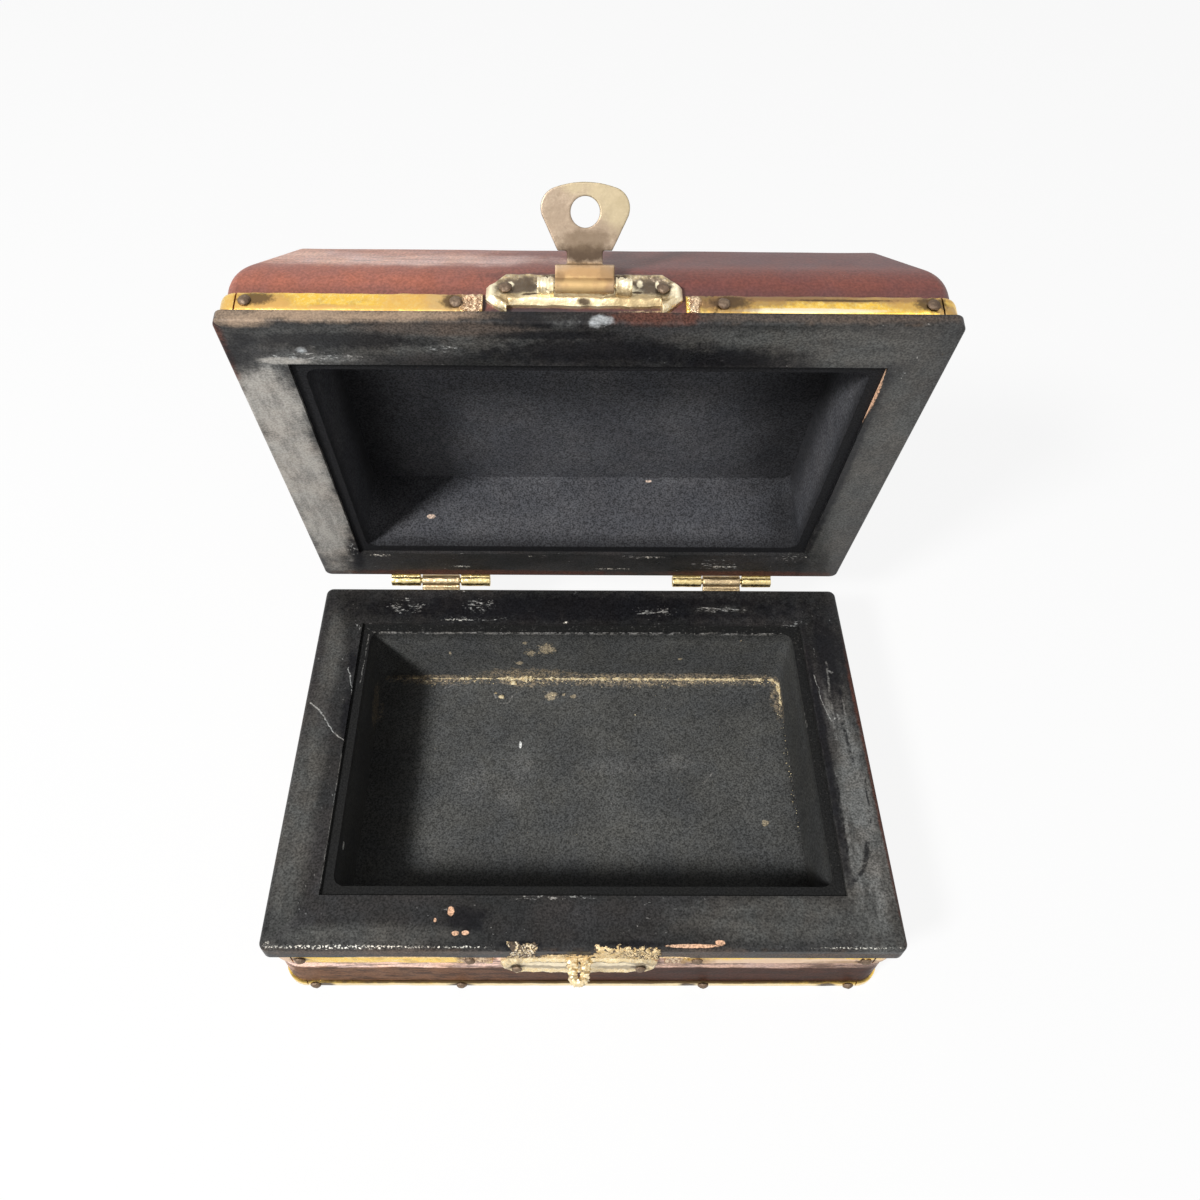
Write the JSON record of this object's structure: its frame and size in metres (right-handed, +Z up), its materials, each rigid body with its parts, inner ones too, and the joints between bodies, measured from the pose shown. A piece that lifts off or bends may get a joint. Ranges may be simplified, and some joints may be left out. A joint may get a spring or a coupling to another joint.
{
  "type": "trinket box",
  "caption": "Small wooden trinket box with a sloped-sided hinged lid, covered panels, brass edge bands, two butt hinges and a hasp with a staple, shown open",
  "frame": {"origin": "centre of the flat underside of the base, where the box stands", "axes": "+X to the right seen from the front, +Y to the back where the hinges are, +Z up"},
  "size_m": [0.1322, 0.125, 0.1359],
  "materials": {
    "lacquered_wood": "worn black lacquer on wood, scuffed and chipped to pale wood",
    "lining": "matte black lining card with fine grain and dust",
    "covering": "thin oxblood leathercloth, worn and slightly glossy",
    "band_brass": "thin brass strip, bright on its crown and tarnished at its edges",
    "nail_metal": "dark tarnished brass nail heads",
    "hinge_brass": "aged brass with tarnish in its seams",
    "hasp_metal": "khaki aged brass with patina and worn paint"
  },
  "bodies": {
    "base": {"base_front_wall": "lacquered_wood", "base_back_wall": "lacquered_wood", "base_left_wall": "lacquered_wood", "base_right_wall": "lacquered_wood", "base_bottom": "lacquered_wood", "base_lining": "lining", "base_cover": "covering", "base_band_front_left": "band_brass", "base_band_front_right": "band_brass", "base_band_left": "band_brass", "base_band_right": "band_brass", "base_band_back": "band_brass", "foot_band_front": "band_brass", "foot_band_back": "band_brass", "foot_band_left": "band_brass", "foot_band_right": "band_brass", "base_band_nails": "nail_metal", "foot_band_nails": "nail_metal", "staple_plate": "hasp_metal", "staple_plate_nails": "nail_metal", "staple": "hasp_metal", "hinge_left_base_leaf": "hinge_brass", "hinge_right_base_leaf": "hinge_brass", "hinge_left_pin": "hinge_brass", "hinge_right_pin": "hinge_brass", "hinge_base_screws": "hinge_brass"},
    "lid": {"lid_front_wall": "lacquered_wood", "lid_back_wall": "lacquered_wood", "lid_left_wall": "lacquered_wood", "lid_right_wall": "lacquered_wood", "lid_top_board": "lacquered_wood", "lid_lining": "lining", "lid_cover": "covering", "lid_band_front_left": "band_brass", "lid_band_front_right": "band_brass", "lid_band_left": "band_brass", "lid_band_right": "band_brass", "lid_band_back": "band_brass", "lid_band_nails": "nail_metal", "hinge_left_lid_leaf": "hinge_brass", "hinge_right_lid_leaf": "hinge_brass", "hinge_lid_screws": "hinge_brass", "hasp_plate": "hasp_metal", "hasp_plate_nails": "nail_metal", "hasp_pin": "hasp_metal"},
    "hasp": {"hasp_strap": "hasp_metal"}
  },
  "joints": [
    {"name": "lid_hinge", "type": "hinge", "parent": "base", "child": "lid", "pos_m": [0, 0.0494, 0.02455], "axis": [1, 0, 0], "range_deg": [0, 77.5]},
    {"name": "hasp_hinge", "type": "hinge", "parent": "lid", "child": "hasp", "pos_m": [-0.001, 0.03451, 0.12199], "axis": [1, 0, 0], "range_deg": [-40, 134]}
  ]
}
